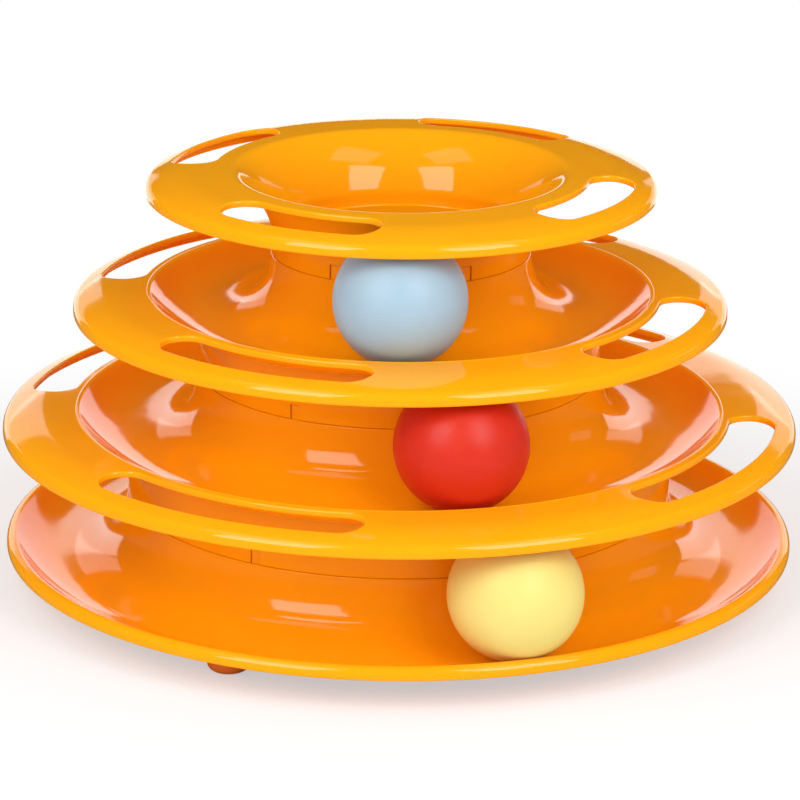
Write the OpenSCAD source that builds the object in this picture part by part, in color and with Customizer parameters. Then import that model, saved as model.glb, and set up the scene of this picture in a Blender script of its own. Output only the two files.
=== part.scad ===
// Ball track tower: a base tray and three dish-shaped tiers stacked on one vertical axis.
// A hollow ball rolls round each of the three open tracks between the tiers.
// Millimetres, +Z up, origin on the ground under the tower's axis, front towards -Y.

/* [Balls] */
// Outside diameter of each ball
ball_d = 40; // [36:0.5:44]
// Wall of a ball's half shells
ball_wall = 1.2; // [1:0.1:2]
// Height of the welded step where two half shells meet
ball_step_h = 1.2; // [0.8:0.1:2]
// Angle of the yellow ball round the base track, from the front
yellow_angle = 18.7; // [-40:0.1:40]
// Angle of the red ball round the lower track, from the front
red_angle = 12.5; // [-40:0.1:40]
// Angle of the blue ball round the middle track, from the front
blue_angle = 0; // [-40:0.1:40]

/* [Tracks] */
// Gap left under a ball
ball_floor_gap = 0.3; // [0.2:0.05:0.6]
// Gap between a ball and the neck that it rolls round
ball_side_gap = 1.3; // [0.8:0.1:2]
// Gap between a ball and the tier above it
ball_head_gap = 2; // [1:0.1:4]
// Gap between a ball and the bowl's wall that leans over it
bowl_gap = 0.6; // [0.4:0.1:1.2]
// Depth of a track below the flange's inner crease
track_depth = 6.5; // [5:0.1:8]
// Distance from the lowest line of a track out to the crease
track_out = 16.2; // [14:0.1:18]
// Distance from the seam down from the line where a neck is narrowest
seam_drop = 2.8; // [1:0.1:4]
// Gap between the yellow ball and the outer side of the base track
base_side_gap = 0.3; // [0.2:0.05:1]
// Height added between the base track and the lower one
base_extra = 1; // [0:0.1:2]

/* [Tiers] */
// Outside radius of the smallest neck, the one under the bowl
top_neck_r = 40; // [37:0.1:44]
// Growth of radius from one tier to the tier below it
tier_step = 22.5; // [21.5:0.1:24]
// Moulded wall thickness
wall = 2; // [1.6:0.1:2.3]
// Width of the slotted flange, from crease to rim
flange_w = 23.8; // [21:0.1:27]
// Slope at which a flange leaves the crease, in degrees
crease_slope = 2; // [0:0.5:4]
// Slope at which a flange enters its lip, in degrees
rim_slope = 9; // [6:0.5:14]
// Radius of the rolled lip round each rim
lip_r = 3; // [2.6:0.1:4]
// Straight turned-down part of the lip
lip_skirt = 1.4; // [0.6:0.1:3]
// Rounding of the crease between flange and track
crease_round = 1.2; // [0.6:0.1:1.8]
// Depth of the bowl, from its crease to the outer knee of its wall
bowl_depth = 18; // [17:0.1:19]
// Rounding at the foot of the bowl, where its wall meets the skirt
bowl_round = 3; // [1:0.5:6]
// Height of the free space under the base tray
under_clear = 6.4; // [6:0.1:10]
// Distance that the base tray's rim stands inside the lower tier's
base_rim_inset = 0.4; // [0:0.1:2]
// Width of the base tray's narrow rim, from crease to edge
base_rim_w = 3; // [2.8:0.1:4]
// Radius of the base tray's rolled lip
base_lip_r = 2.5; // [2.4:0.1:2.7]

/* [Slots] */
// Number of curved slots in each flange
slot_count = 4; // [3:1:5]
// Angle of the first slot's middle, from the front
slot_angle = -28; // [-60:1:60]
// Angle that one slot spans, end to end
slot_span = 46; // [30:1:55]
// Radial width of a slot
slot_w = 14.2; // [11:0.1:15]
// Flange left between a slot and the rim
slot_margin = 6.4; // [5.5:0.1:8]

/* [Stacking joints] */
// Height of the spigot that enters the skirt of the tier above
spigot_h = 5; // [4:0.1:7]
// Radial gap between spigot and skirt
fit_gap = 0.3; // [0.2:0.05:0.5]
// Gap left at the seam between a neck's shoulder and the skirt on it
seam_gap = 0.3; // [0.2:0.05:0.5]
// Number of keys round a shoulder
key_count = 6; // [3:1:8]
// Angle of the first key, from the front
key_angle = 30; // [0:1:60]
// Width of a key
key_w = 3; // [2:0.1:5]
// Distance that a key stops below the spigot's top
key_drop = 0.4; // [0.2:0.1:1]
// Distance that a key stands back from the neck's outer face
key_recess = 0.4; // [0.2:0.1:0.8]

/* [Feet] */
// Angle of the first foot, from the front
foot_angle = -29; // [-45:1:45]
// Distance of the feet inwards from the base track's lowest line
foot_inset = 4; // [3:0.1:8]
// Outside radius of a foot
foot_r = 6.5; // [5.5:0.1:8]
// Distance that the feet's bosses reach below the tray's lowest surface
boss_drop = 1.5; // [0.8:0.1:2]
// Radius of the flat on which a foot stands
foot_flat_r = 4; // [2.5:0.1:4.5]
// Radius of the peg on a foot
peg_r = 2.1; // [1.6:0.1:2.6]
// Plastic left between a peg's socket and the track
socket_skin = 1.2; // [1:0.1:1.4]
// Play of the peg in its socket
peg_play = 0.05; // [0.02:0.01:0.1]

/* [Hidden] */

// Facets of the interpreter's own mesh
$fn = 96;
// Points in a quarter turn of an outline's arc
quarter_steps = 10;
// One overrun serves every cut
cut = 1;

// Orange plastic of the tray and the tiers
orange = [1.0, 0.55, 0.05];
// Softer, redder plastic of the feet
foot_orange = [0.93, 0.30, 0.08];
yellow = [0.99, 0.93, 0.55];
red = [0.90, 0.14, 0.10];
blue = [0.75, 0.86, 0.91];

ball_r = ball_d / 2;
// Radius of the groove's section between its floor and the neck
groove_r = ball_r + ball_side_gap;
// Radius of the groove's section between its floor and the crease
outer_r = (track_out * track_out + track_depth * track_depth) / (2 * track_depth);
// Radius of the groove's section on the outer side of the base track
base_outer_r = ball_r + base_side_gap;
// Height from one crease to the next
tier_rise = ball_floor_gap + ball_d + ball_head_gap + wall - track_depth;
// Height of the lowest line of the base track
base_floor_z = under_clear + wall;
// Height of a key above its shoulder
key_h = spigot_h - key_drop;
// Height of a foot, up to its seat on the boss
foot_h = under_clear - boss_drop;
// Depth of a peg's socket
socket_h = boss_drop + wall - socket_skin;
// Feet, one to a named node
foot_count = 4;
// Tiers are counted from the base tray, 0, to the top tier, 3
top_index = 3;

// Outside radius of the neck on tier k
function neck_r(k) = top_neck_r + (top_index - 1 - k) * tier_step;
// Radius of the lowest line of the track on tier k
function floor_r(k) = neck_r(k) + groove_r;
// Height of the lowest line of the track on tier k
function floor_z(k) = base_floor_z + k * tier_rise + (k > 0 ? base_extra : 0);
// Height of the line where the neck of tier k is narrowest
function waist_z(k) = floor_z(k) + groove_r;
// Height of the crease plane of tier k
function crease_z(k) = floor_z(k) + track_depth;
// Height of the shoulder where the neck of tier k ends
function shoulder_z(k) = waist_z(k) - seam_drop;

// Outside radius of the rim of tier k
function rim_r(k) =
    k == 0 ? rim_r(1) - base_rim_inset
    : k == top_index ? rim_r(k - 1) - tier_step
    : floor_r(k) + track_out + flange_w;

// Distance from the lowest line of the base track out to its crease
function base_track_out() = rim_r(0) - base_rim_w - floor_r(0);

// Point at an angle on a circle; angles run anticlockwise from +X
function polar(c, r, a) = [c[0] + r * cos(a), c[1] + r * sin(a)];
// Point of the line through p, along the direction u, at height z
function at_height(p, u, z) = p + u * (z - p[1]) / u[1];
// Points of an arc from angle a to angle b
function arc(c, r, a, b) =
    let (n = max(4, ceil(quarter_steps * abs(b - a) / 90)))
    [for (i = [0:n]) polar(c, r, a + (b - a) * i / n)];
// Last point of a list
function last(points) = points[len(points) - 1];
// Points of a list that lie further from p than q does
function beyond(points, p, q) = [for (x = points) if (norm(x - p) > norm(q - p)) x];
// Unit vector from p to q
function toward(p, q) = (q - p) / norm(q - p);
// Rounded corner at p, between the neighbours a and b
function rounded(a, p, b, r) =
    let (
        u = toward(p, a),
        v = toward(p, b),
        half = acos(u * v) / 2,
        c = p + toward([0, 0], u + v) * r / sin(half),
        start = p + u * r / tan(half),
        end = p + v * r / tan(half),
        from = atan2(start[1] - c[1], start[0] - c[0]),
        sweep_raw = atan2(end[1] - c[1], end[0] - c[0]) - from,
        sweep = sweep_raw > 180 ? sweep_raw - 360 : sweep_raw < -180 ? sweep_raw + 360 : sweep_raw
    )
    arc(c, r, from, from + sweep);

// Width of a flange's crowned arc, without the lip
function crown_w(full_w, lip) = full_w - lip * (1 - sin(rim_slope));
// Radius of a flange's crowned arc
function crown_r(full_w, lip) = crown_w(full_w, lip) / (sin(rim_slope) - sin(crease_slope));
// Centre of a flange's crowned arc, which starts at the crease p
function crown_c(p, full_w, lip) =
    p - crown_r(full_w, lip) * [sin(crease_slope), cos(crease_slope)];
// Centre of a rolled lip
function lip_c(p, full_w, lip) =
    polar(crown_c(p, full_w, lip), crown_r(full_w, lip) - lip, 90 - rim_slope);

// Upper surface of a flange and its lip, from the crease p outwards
function flange_top(p, full_w, lip) =
    let (
        crown = arc(crown_c(p, full_w, lip), crown_r(full_w, lip), 90 - crease_slope, 90 - rim_slope),
        roll = arc(lip_c(p, full_w, lip), lip, 90 - rim_slope, 0)
    )
    concat(crown, [for (i = [1:len(roll) - 1]) roll[i]]);

// The same surface one wall thickness further in, from the lip back to the crease
function flange_under(p, full_w, lip) =
    let (
        roll = arc(lip_c(p, full_w, lip), lip - wall, 0, 90 - rim_slope),
        inner_r = crown_r(full_w, lip) - wall,
        crown = arc(crown_c(p, full_w, lip), inner_r, 90 - rim_slope, 90 - crease_slope)
    )
    concat(roll, [for (i = [1:len(crown) - 1]) crown[i]]);

// Point under the crease where the two inner surfaces cross, with the track at slope s
function crease_under(p, s) =
    let (lean = (s - crease_slope) / 2)
    p + wall / cos((s + crease_slope) / 2) * [sin(lean), -cos(lean)];

// Outline of a track tier's section: spigot, shoulder, neck, groove, flange and lip. The
// groove's outer side has the section radius side_r and ends at the distance out.
function track_outline(k, side_r, out, full_w, lip) =
    let (
        c_in = [floor_r(k), waist_z(k)],
        c_out = [floor_r(k), floor_z(k) + side_r],
        s = asin(out / side_r),
        crease = polar(c_out, side_r, s - 90),
        neck_a = 180 + asin(seam_drop / groove_r),
        groove = concat(arc(c_in, groove_r, neck_a, 270), arc(c_out, side_r, -90, s - 90)),
        bed = [for (q = groove) if (q[0] < crease[0] - crease_round) q],
        top = flange_top(crease, full_w, lip),
        corner = rounded(last(bed), crease, top[1], crease_round),
        crown = beyond(top, crease, last(corner)),
        lip_end = last(top) - [0, lip_skirt],
        under_mark = crease_under(crease, s),
        back = [for (q = flange_under(crease, full_w, lip)) if (q[0] > under_mark[0]) q],
        belly = concat(arc(c_out, side_r + wall, s - 90, -90), arc(c_in, groove_r + wall, 270, 180)),
        web_z = shoulder_z(k) - wall,
        inner = [for (q = belly) if (q[0] < under_mark[0] && q[1] < web_z) q],
        spigot_out = neck_r(k) - wall - fit_gap,
        spigot_in = spigot_out - wall,
        neck_in = c_in[0] - sqrt(pow(groove_r + wall, 2) - pow(wall + seam_drop, 2))
    )
    concat(
        [[spigot_in, shoulder_z(k) + spigot_h], [spigot_out, shoulder_z(k) + spigot_h]],
        [[spigot_out, shoulder_z(k)]],
        bed, corner, crown,
        [lip_end, lip_end - [wall, 0]],
        back, [under_mark], inner,
        [[neck_in, web_z], [spigot_in, web_z]]
    );

// Outline of the top tier's section: skirt, bowl, flange and lip. The bowl's wall leans
// out over the middle track as far as the ball there allows.
function bowl_outline() =
    let (
        k = top_index - 1,
        skirt_out = neck_r(k),
        skirt_in = skirt_out - wall,
        low_z = shoulder_z(k) + seam_gap,
        knee = [skirt_out, crease_z(top_index) - bowl_depth],
        ball_c = [floor_r(k), floor_z(k) + ball_floor_gap + ball_r],
        gap = ball_c - knee,
        s = atan2(gap[1], gap[0]) + asin((ball_r + bowl_gap) / norm(gap)),
        u = [cos(s), sin(s)],
        inner_knee = knee + wall * [-sin(s), cos(s)],
        crease = at_height(inner_knee, u, crease_z(top_index)),
        seat = inner_knee + u * (skirt_in - inner_knee[0]) / u[0],
        bend = rounded([skirt_in, low_z], seat, crease, bowl_round),
        full_w = rim_r(top_index) - crease[0],
        top = flange_top(crease, full_w, lip_r),
        corner = rounded(seat, crease, top[1], crease_round),
        crown = beyond(top, crease, last(corner)),
        lip_end = last(top) - [0, lip_skirt],
        under_mark = crease_under(crease, s),
        back = [for (q = flange_under(crease, full_w, lip_r)) if (q[0] > under_mark[0]) q]
    )
    concat(
        [[skirt_in, low_z]], bend, corner, crown,
        [lip_end, lip_end - [wall, 0]],
        back, [under_mark, knee, [skirt_out, low_z]]
    );

// Sets its children at an angle round the axis, counted from the front towards +X
module around(angle) {
    rotate([0, 0, angle]) children();
}

// One curved slot with round ends, of a given middle radius, between two heights
module slot_cut(r_mid, low_z, high_z) {
    half = slot_span / 2 - asin(slot_w / 2 / r_mid);
    translate([0, 0, low_z]) {
        rotate([0, 0, -90 - half])
            rotate_extrude(angle = 2 * half)
                translate([r_mid - slot_w / 2, 0])
                    square([slot_w, high_z - low_z]);
        for (side = [-half, half])
            around(side)
                translate([0, -r_mid, 0])
                    cylinder(r = slot_w / 2, h = high_z - low_z);
    }
}

// All the slots of the flange on tier k
module slot_cuts(k) {
    fall = (slot_w + slot_margin) * tan(rim_slope) + lip_r + lip_skirt;
    for (i = [0:slot_count - 1])
        around(slot_angle + i * 360 / slot_count)
            slot_cut(
                rim_r(k) - slot_margin - slot_w / 2,
                crease_z(k) - fall - cut, crease_z(k) + cut
            );
}

// Keys that stand on the shoulder of tier k, against its spigot
module keys(k) {
    root = wall / 2;
    depth = wall + fit_gap + root - key_recess;
    for (i = [0:key_count - 1])
        around(key_angle + i * 360 / key_count)
            translate([-key_w / 2, -neck_r(k) + key_recess, shoulder_z(k) - root])
                cube([key_w, depth, key_h + root]);
}

// Notches in the skirt that sits on tier k, each with room for a key
module key_notches(k) {
    notch_w = key_w + 2 * fit_gap;
    for (i = [0:key_count - 1])
        around(key_angle + i * 360 / key_count)
            translate([-notch_w / 2, -neck_r(k) - cut, shoulder_z(k) - cut])
                cube([notch_w, wall + 2 * cut, key_h + fit_gap + cut]);
}

// Skirt of tier k, which sits on the shoulder of the tier below it
module skirt(k) {
    low_z = shoulder_z(k - 1) + seam_gap;
    translate([0, 0, low_z])
        difference() {
            cylinder(r = neck_r(k - 1), h = floor_z(k) - wall / 2 - low_z);
            translate([0, 0, -cut])
                cylinder(r = neck_r(k - 1) - wall, h = floor_z(k) - low_z + cut);
        }
}

// Track tier k, with its slotted flange and its skirt
module track_tier(k) {
    difference() {
        union() {
            rotate_extrude()
                polygon(track_outline(k, outer_r, track_out, flange_w, lip_r));
            skirt(k);
            keys(k);
        }
        slot_cuts(k);
        key_notches(k - 1);
    }
}

// Sets its children at foot i, with the track's lowest line as the datum
module at_foot(i) {
    around(foot_angle + i * 360 / foot_count)
        translate([0, foot_inset - floor_r(0), 0])
            children();
}

// Boss under the tray that holds the peg of foot i, kept below the middle of the wall
module foot_boss(i) {
    boss_r = (foot_r + peg_r) / 2;
    c_in = [floor_r(0), waist_z(0)];
    c_out = [floor_r(0), floor_z(0) + base_outer_r];
    intersection() {
        at_foot(i)
            translate([0, 0, foot_h])
                cylinder(r = boss_r, h = groove_r);
        rotate_extrude()
            polygon(concat(
                [[neck_r(0), 0]],
                arc(c_in, groove_r + wall / 2, 200, 270),
                arc(c_out, base_outer_r + wall / 2, 275, 320),
                [[floor_r(0) + base_outer_r, 0]]
            ));
    }
}

// Base tray: a track with a narrow rolled rim, standing on four feet
module base_tray() {
    color(orange)
        difference() {
            union() {
                rotate_extrude()
                    polygon(
                        track_outline(0, base_outer_r, base_track_out(), base_rim_w, base_lip_r)
                    );
                keys(0);
                for (i = [0:foot_count - 1])
                    foot_boss(i);
            }
            for (i = [0:foot_count - 1])
                at_foot(i)
                    translate([0, 0, foot_h - cut])
                        cylinder(r = peg_r + peg_play, h = socket_h + cut);
        }
}

module lower_tier() {
    color(orange) track_tier(1);
}

module middle_tier() {
    color(orange) track_tier(2);
}

// Top tier: a slotted flange round an open bowl, with a skirt below
module top_tier() {
    color(orange)
        difference() {
            rotate_extrude()
                polygon(bowl_outline());
            slot_cuts(top_index);
            key_notches(top_index - 1);
        }
}

// Sets its children at the centre of the ball on tier k
module at_ball(k, angle) {
    around(angle)
        translate([0, -floor_r(k), floor_z(k) + ball_floor_gap + ball_r])
            children();
}

// Hollow ball without its inside
module ball_skin() {
    difference() {
        sphere(r = ball_r);
        sphere(r = ball_r - ball_wall);
    }
}

// Radius at which the two half shells share the wall
function step_r() = ball_r - ball_wall / 2;

// Upper half shell, with the step that enters the lower one
module ball_upper() {
    difference() {
        ball_skin();
        translate([0, 0, -ball_r - cut])
            cylinder(r = ball_r + cut, h = ball_r + cut);
    }
    step_in = ball_r - ball_wall;
    translate([0, 0, -ball_step_h])
        difference() {
            cylinder(r = step_r() - peg_play, h = ball_step_h + ball_wall / 2);
            translate([0, 0, -cut])
                cylinder(r = step_in, h = ball_step_h + ball_wall / 2 + 2 * cut);
        }
}

// Lower half shell, cut back inside for the step
module ball_lower() {
    difference() {
        ball_skin();
        cylinder(r = ball_r + cut, h = ball_r + cut);
        translate([0, 0, -ball_step_h - peg_play])
            cylinder(r = step_r(), h = ball_step_h + peg_play + cut);
    }
}

module yellow_ball_upper() {
    color(yellow) at_ball(0, yellow_angle) ball_upper();
}

module yellow_ball_lower() {
    color(yellow) at_ball(0, yellow_angle) ball_lower();
}

module red_ball_upper() {
    color(red) at_ball(1, red_angle) ball_upper();
}

module red_ball_lower() {
    color(red) at_ball(1, red_angle) ball_lower();
}

module blue_ball_upper() {
    color(blue) at_ball(2, blue_angle) ball_upper();
}

module blue_ball_lower() {
    color(blue) at_ball(2, blue_angle) ball_lower();
}

// Foot i: a rounded pad on a flat, with a peg that enters the boss
module foot(i) {
    side_r = foot_r - foot_flat_r;
    peg_top = foot_h + socket_h - peg_play;
    color(foot_orange)
        at_foot(i)
            rotate_extrude()
                polygon(concat(
                    [[0, 0]],
                    arc([foot_flat_r, side_r], side_r, 270, 360),
                    [[foot_r, foot_h], [peg_r, foot_h], [peg_r, peg_top], [0, peg_top]]
                ));
}

module foot_front_left() {
    foot(0);
}

module foot_front_right() {
    foot(1);
}

module foot_back_right() {
    foot(2);
}

module foot_back_left() {
    foot(3);
}

base_tray();
lower_tier();
middle_tier();
top_tier();
yellow_ball_upper();
yellow_ball_lower();
red_ball_upper();
red_ball_lower();
blue_ball_upper();
blue_ball_lower();
foot_front_left();
foot_front_right();
foot_back_right();
foot_back_left();
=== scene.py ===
"""Looks of a cat's ball track tower: four orange mouldings, three hollow balls and four feet.

Lengths are in metres. Angles round the tower's axis are in degrees from the front, -y, towards +x.
The tower stands on its feet at z = 0, with its axis on the z axis.
"""

import logging
import math
from abc import ABC, abstractmethod
from collections.abc import Callable, Sequence
from dataclasses import dataclass, field
from enum import Enum

import bmesh
import bpy
import numpy as np
from mathutils import Matrix, Vector

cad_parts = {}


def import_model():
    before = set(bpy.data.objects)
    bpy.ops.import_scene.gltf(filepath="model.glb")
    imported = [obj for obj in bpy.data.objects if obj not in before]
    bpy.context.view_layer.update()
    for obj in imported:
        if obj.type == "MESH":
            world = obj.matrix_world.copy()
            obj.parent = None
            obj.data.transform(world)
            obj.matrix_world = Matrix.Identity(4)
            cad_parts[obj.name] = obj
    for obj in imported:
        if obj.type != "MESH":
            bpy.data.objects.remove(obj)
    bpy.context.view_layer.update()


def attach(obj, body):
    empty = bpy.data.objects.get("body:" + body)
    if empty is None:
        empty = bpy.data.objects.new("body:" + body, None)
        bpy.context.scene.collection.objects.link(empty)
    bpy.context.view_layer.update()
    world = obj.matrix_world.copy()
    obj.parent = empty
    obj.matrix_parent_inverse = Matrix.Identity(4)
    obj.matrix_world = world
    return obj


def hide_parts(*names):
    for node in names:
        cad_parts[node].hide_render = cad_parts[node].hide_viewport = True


log = logging.getLogger("ball_track_tower")

MM = 0.001
APART = 1e-7  # points of an outline that lie closer count as one
JOINED = 2e-6  # vertices that lie closer are joined
SAME = 1e-9  # heights that differ by less are the same
ANGLE_APART = 1e-6  # angles that differ by less are the same
SOFT_STEPS = 7  # segments in a softened corner
NOISE_SPAN = (0.3, 0.7)  # usual span of a noise's factor
WHITE = (1.0, 1.0, 1.0, 1.0)

Point = tuple[float, float]
Colour = tuple[float, float, float]
Skip = Callable[[int, int], bool]
Values = np.ndarray | float


# ---------------------------------------------------------------- shared shapes


def outward(angles: Values) -> np.ndarray:
    """Outward directions at angles round the tower's axis, as x and y in the last place."""
    turns = np.radians(angles)
    return np.stack([np.sin(turns), -np.cos(turns)], axis=-1)


def from_axis(radius: float, angle: float, height: float) -> tuple[float, float, float]:
    """Point at a radius, an angle round the tower's axis and a height above the ground."""
    x, y = radius * outward(angle)
    return float(x), float(y), height


def around(count: int) -> np.ndarray:
    """Even angles all round."""
    return np.arange(count) * 360 / count


@dataclass
class Outline:
    """Open outline in the plane of radius and height, with corners that can be softened.

    Fields:
        points: radius and height of each point.
        reaches: how far the softening of each point's corner reaches along the outline.
    """

    points: list[Point] = field(default_factory=list)
    reaches: list[float] = field(default_factory=list)

    def to(self, radius: float, height: float, soft: float = 0.0) -> "Outline":
        """Adds a point.

        Args:
            radius: its distance from the axis.
            height: its height.
            soft: how far the softening of its corner reaches, or 0 for none.

        Returns:
            The outline itself, so that calls can follow each other.
        """
        self.points.append((radius, height))
        self.reaches.append(soft)
        return self

    def arc(
        self,
        centre: Point,
        radius: float,
        start: float,
        end: float,
        step: float,
        swell: Callable[[float], float] = lambda angle: 0.0,
    ) -> "Outline":
        """Adds an arc.

        Args:
            centre: centre of the arc.
            radius: its radius.
            start: angle of its first point, anticlockwise from the outward direction.
            end: angle of its last point.
            step: most degrees between two points.
            swell: gives what is added to the radius at an angle.

        Returns:
            The outline itself.
        """
        count = max(2, math.ceil(abs(end - start) / step))
        for i in range(count + 1):
            angle = start + (end - start) * i / count
            a, reach = math.radians(angle), radius + swell(angle)
            self.to(centre[0] + reach * math.cos(a), centre[1] + reach * math.sin(a))
        return self

    def soften_last(self, reach: float) -> "Outline":
        """Softens the corner at the last point, and returns the outline."""
        self.reaches[-1] = reach
        return self

    def drawn(self) -> np.ndarray:
        """Softens the corners.

        Returns:
            Radius and height of each point of the softened outline, one row each.
        """
        path = np.array(self.points, float)
        soft = np.array(self.reaches, float)
        far = np.concatenate([[True], np.linalg.norm(np.diff(path, axis=0), axis=1) > APART])
        for i in np.nonzero(~far)[0]:
            soft[i - 1] = max(soft[i - 1], soft[i])
        path, soft = path[far], soft[far]
        lengths = np.linalg.norm(np.diff(path, axis=0), axis=1)
        along = np.concatenate([[0.0], np.cumsum(lengths)])
        made: list[np.ndarray] = []
        reached, done = -1.0, 0
        for c in range(1, len(path) - 1):
            if soft[c] <= 0:
                continue
            low, high = along[c] - soft[c], along[c] + soft[c]
            made += [path[i] for i in range(done, c) if reached < along[i] < low]
            first, last = (
                np.array([np.interp(s, along, path[:, k]) for k in (0, 1)]) for s in (low, high)
            )
            for t in np.linspace(0, 1, SOFT_STEPS + 1):
                made.append((1 - t) ** 2 * first + 2 * t * (1 - t) * path[c] + t * t * last)
            reached, done = high, c + 1
        made += [path[i] for i in range(done, len(path)) if along[i] > reached]
        return np.array(made)


@dataclass
class Shell:
    """Vertices and faces of one piece while it is built.

    Fields:
        blocks: blocks of vertices.
        faces: vertex numbers of each face.
        count: vertices so far.
    """

    blocks: list[np.ndarray] = field(default_factory=list)
    faces: list[tuple[int, ...]] = field(default_factory=list)
    count: int = 0

    def add_points(self, points: np.ndarray) -> int:
        """Adds points.

        Args:
            points: the points, one row each.

        Returns:
            The number of the first.
        """
        start = self.count
        self.blocks.append(points)
        self.count += len(points)
        return start

    def add_grid(self, grid: np.ndarray, skip: Skip | None = None) -> None:
        """Adds a grid of points with its four-sided faces; its last column joins its first.

        Args:
            grid: points in rows and columns, as an array of rows, columns and 3.
            skip: says for a row and a column whether the face there is left out.
        """
        rows, columns = grid.shape[:2]
        start = self.add_points(grid.reshape(-1, 3))
        for i in range(rows - 1):
            for j in range(columns):
                if skip is not None and skip(i, j):
                    continue
                low, k = start + i * columns, (j + 1) % columns
                high = low + columns
                self.faces.append((low + j, low + k, high + k, high + j))

    def turn(
        self,
        outline: np.ndarray,
        angles: Sequence[float],
        skip: Skip | None = None,
        centre: Point = (0.0, 0.0),
    ) -> None:
        """Turns an outline round an upright line.

        Args:
            outline: radius and height of each point.
            angles: angles at which it is set.
            skip: says for a segment of the outline and an angle's number whether its face is
                left out.
            centre: x and y of that line.
        """
        flat = np.array(centre) + outline[:, None, :1] * outward(angles)[None]
        heights = np.broadcast_to(outline[:, None, 1:], (*flat.shape[:2], 1))
        self.add_grid(np.concatenate([flat, heights], axis=2), skip)

    def add_face(self, points: Sequence[Sequence[float]]) -> None:
        """Adds one face from its corner points."""
        start = self.add_points(np.array(points, float))
        self.faces.append(tuple(range(start, start + len(points))))

    def piece(self, name: str, sharp_angle: float = 50.0) -> bpy.types.Object:
        """Makes the object, with coinciding points joined and normals weighted by area.

        Args:
            name: name of the object.
            sharp_angle: degrees beyond which an edge is left sharp.

        Returns:
            The new object.
        """
        mesh = bpy.data.meshes.new(name)
        mesh.from_pydata(np.concatenate(self.blocks).tolist(), [], self.faces)
        work = bmesh.new()
        work.from_mesh(mesh)
        bmesh.ops.remove_doubles(work, verts=work.verts, dist=JOINED)
        bmesh.ops.dissolve_degenerate(work, edges=work.edges, dist=APART)
        bmesh.ops.recalc_face_normals(work, faces=work.faces)
        work.to_mesh(mesh)
        work.free()
        mesh.shade_smooth()
        mesh.set_sharp_from_angle(angle=math.radians(sharp_angle))
        made = bpy.data.objects.new(name, mesh)
        bpy.context.scene.collection.objects.link(made)
        even = made.modifiers.new("even_shading", "WEIGHTED_NORMAL")
        even.keep_sharp = True
        return made


# ---------------------------------------------------------------- finishes


@dataclass(frozen=True)
class Noise:
    """Unevenness of a colour, a gloss or a height.

    Fields:
        scale: features in a metre.
        detail: octaves of finer features.
    """

    scale: float
    detail: float


@dataclass(frozen=True)
class Ripple(Noise):
    """Unevenness of a surface.

    Fields:
        height: its height in metres.
    """

    height: float


class Nodes:
    """Node tree of a material or a world, with short calls for the nodes used here."""

    def __init__(self, owner: bpy.types.Material | bpy.types.World) -> None:
        """Starts the tree with only its output.

        Args:
            owner: material or world that the tree belongs to.
        """
        self.owner = owner
        owner.use_nodes = True
        self.tree = owner.node_tree
        self.tree.nodes.clear()
        kind = "World" if isinstance(owner, bpy.types.World) else "Material"
        self.output = self.tree.nodes.new(f"ShaderNodeOutput{kind}")

    def add(
        self, kind: str, inputs: dict[str | int, object] | None = None, **settings: object
    ) -> bpy.types.Node:
        """Adds a node.

        Args:
            kind: its type.
            inputs: for an input's name or number, its value or the output that is joined to it.
            **settings: its own settings.

        Returns:
            The node.
        """
        node = self.tree.nodes.new(kind)
        for key, value in settings.items():
            setattr(node, key, value)
        for key, value in (inputs or {}).items():
            if isinstance(value, bpy.types.NodeSocket):
                self.tree.links.new(value, node.inputs[key])
            else:
                node.inputs[key].default_value = value
        return node

    def noise(self, place: bpy.types.NodeSocket, noise: Noise) -> bpy.types.NodeSocket:
        """Noise texture at a place, as its factor."""
        inputs = {"Vector": place, "Scale": noise.scale, "Detail": noise.detail}
        return self.add("ShaderNodeTexNoise", inputs).outputs["Fac"]

    def ramp(
        self, source: bpy.types.NodeSocket, stops: Sequence[tuple[float, Colour]]
    ) -> bpy.types.NodeSocket:
        """Colour ramp.

        Args:
            source: factor.
            stops: place and linear colour of its two stops.

        Returns:
            Its colour.
        """
        node = self.add("ShaderNodeValToRGB", {"Fac": source})
        for mark, (place, colour) in zip(node.color_ramp.elements, stops):
            mark.position = place
            mark.color = (*colour, 1.0)
        return node.outputs["Color"]

    def spread(self, source: bpy.types.NodeSocket, span: Point) -> bpy.types.NodeSocket:
        """Maps the usual span of a noise to another span.

        Args:
            source: the noise's factor.
            span: least and most value of the result.

        Returns:
            The result.
        """
        inputs = {"Value": source, "From Min": NOISE_SPAN[0], "From Max": NOISE_SPAN[1]}
        inputs.update({"To Min": span[0], "To Max": span[1]})
        return self.add("ShaderNodeMapRange", inputs).outputs["Result"]

    def grain(
        self, place: bpy.types.NodeSocket, ripples: Sequence[Ripple]
    ) -> bpy.types.NodeSocket:
        """Bumps that are laid on each other.

        Args:
            place: coordinates.
            ripples: the ripples, the lowest first.

        Returns:
            The bumped normal.
        """
        inputs: dict[str | int, object] = {}
        for ripple in ripples:
            inputs |= {"Height": self.noise(place, ripple), "Distance": ripple.height}
            inputs["Normal"] = self.add("ShaderNodeBump", inputs).outputs["Normal"]
        return inputs["Normal"]

    def mix(
        self, share: bpy.types.NodeSocket, low: bpy.types.NodeSocket, high: bpy.types.NodeSocket
    ) -> bpy.types.NodeSocket:
        """Mix of two shaders, low at share 0 and high at share 1."""
        return self.add("ShaderNodeMixShader", {"Fac": share, 1: low, 2: high}).outputs["Shader"]

    def finish(self, shader: bpy.types.NodeSocket) -> bpy.types.Material | bpy.types.World:
        """Joins a shader to the output, and returns the material or world."""
        self.tree.links.new(shader, self.output.inputs["Surface"])
        return self.owner


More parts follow.
